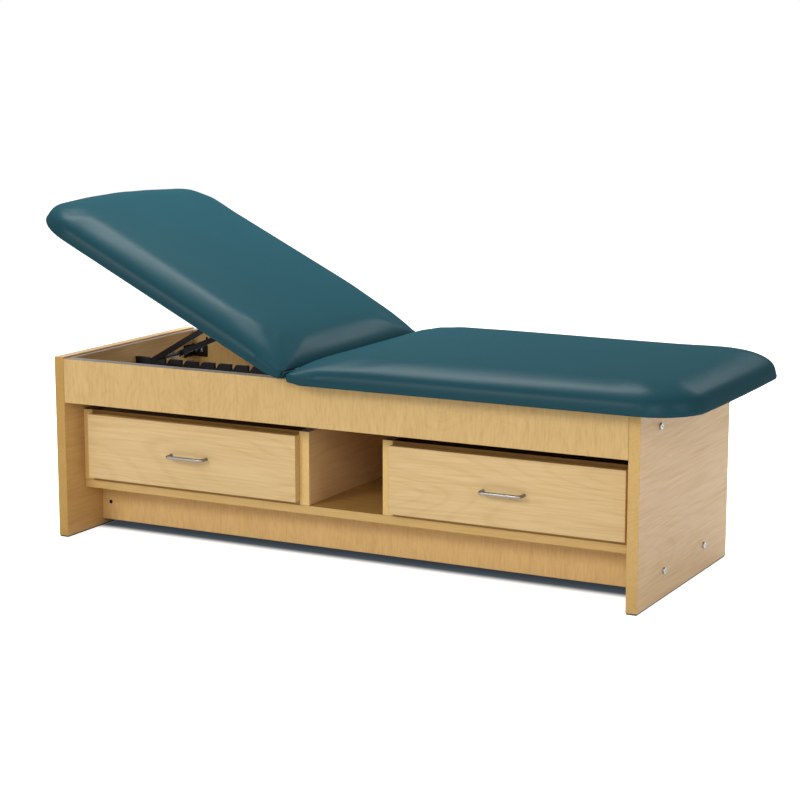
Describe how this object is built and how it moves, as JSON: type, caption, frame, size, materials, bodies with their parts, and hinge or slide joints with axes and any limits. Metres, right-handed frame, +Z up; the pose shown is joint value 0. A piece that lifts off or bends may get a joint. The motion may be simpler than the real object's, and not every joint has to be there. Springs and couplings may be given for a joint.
{
  "type": "examination couch",
  "caption": "Padded examination couch on a wooden cabinet base, with a backrest that lifts on a toothed rack, drawers with wire pulls and an open cubby between them.",
  "frame": {"origin": "On the floor, under the middle of the couch's bounding box with the backrest raised as pictured.", "axes": "+X runs along the couch from the head end to the foot end, +Y runs across it from the drawer side to the back, +Z is up."},
  "size_m": [1.721, 0.7, 0.8449],
  "materials": {
    "maple": "satin",
    "case_board": "satin",
    "plywood": "matte",
    "backing": "matte",
    "vinyl": "satin",
    "black_steel": "satin",
    "zinc_steel": "satin",
    "nickel": "satin",
    "dark_strip": "matte"
  },
  "bodies": {
    "base": {"head_end_panel": "maple", "foot_end_panel": "maple", "head_floor_strip": "dark_strip", "foot_floor_strip": "dark_strip", "front_apron": "maple", "back_apron": "maple", "head_cross_rail": "maple", "foot_cross_rail": "maple", "mid_cross_rail": "maple", "head_front_brace": "black_steel", "head_back_brace": "black_steel", "foot_front_brace": "black_steel", "foot_back_brace": "black_steel", "shelf": "case_board", "head_case_side": "case_board", "head_divider": "case_board", "foot_divider": "case_board", "foot_case_side": "case_board", "head_case_top": "backing", "foot_case_top": "backing", "case_back": "case_board", "front_kickboard": "maple", "back_kickboard": "maple", "head_front_upper_bolt": "zinc_steel", "head_front_lower_bolt": "zinc_steel", "head_back_upper_bolt": "zinc_steel", "head_back_lower_bolt": "zinc_steel", "foot_front_upper_bolt": "zinc_steel", "foot_front_lower_bolt": "zinc_steel", "foot_back_upper_bolt": "zinc_steel", "foot_back_lower_bolt": "zinc_steel", "head_runner_channel": "zinc_steel", "foot_runner_channel": "zinc_steel", "seat_deck": "plywood", "seat_cushion": "vinyl", "hinge_seat_leaf": "zinc_steel", "rack": "black_steel"},
    "backrest": {"backrest_deck": "plywood", "backrest_cushion": "vinyl", "hinge_back_leaf": "zinc_steel", "front_prop_bracket": "black_steel", "back_prop_bracket": "black_steel"},
    "prop": {"front_prop_leg": "black_steel", "back_prop_leg": "black_steel", "prop_foot_rod": "black_steel"},
    "head_drawer": {"head_drawer_front": "maple", "head_drawer_left_side": "case_board", "head_drawer_right_side": "case_board", "head_drawer_back": "case_board", "head_drawer_floor": "case_board", "head_drawer_handle": "nickel", "head_runner_bar": "zinc_steel"},
    "foot_drawer": {"foot_drawer_front": "maple", "foot_drawer_left_side": "case_board", "foot_drawer_right_side": "case_board", "foot_drawer_back": "case_board", "foot_drawer_floor": "case_board", "foot_drawer_handle": "nickel", "foot_runner_bar": "zinc_steel"}
  },
  "joints": [
    {"name": "backrest_hinge", "type": "hinge", "parent": "base", "child": "backrest", "pos_m": [-0.13013, 0, 0.4733], "axis": [0, 1, 0], "range_deg": [-26.4, 33.6]},
    {"name": "prop_hinge", "type": "hinge", "parent": "backrest", "child": "prop", "pos_m": [-0.38138, 0, 0.56788], "axis": [0, 1, 0], "range_deg": [-61.6, 48.4]},
    {"name": "head_drawer_slide", "type": "slide", "parent": "base", "child": "head_drawer", "axis": [0, -1, 0], "range_m": [0, 0.3]},
    {"name": "foot_drawer_slide", "type": "slide", "parent": "base", "child": "foot_drawer", "axis": [0, -1, 0], "range_m": [0, 0.3]}
  ],
  "couplings": [
    {"joint": "prop_hinge", "follows": "backrest_hinge", "ratio": -1.824}
  ]
}
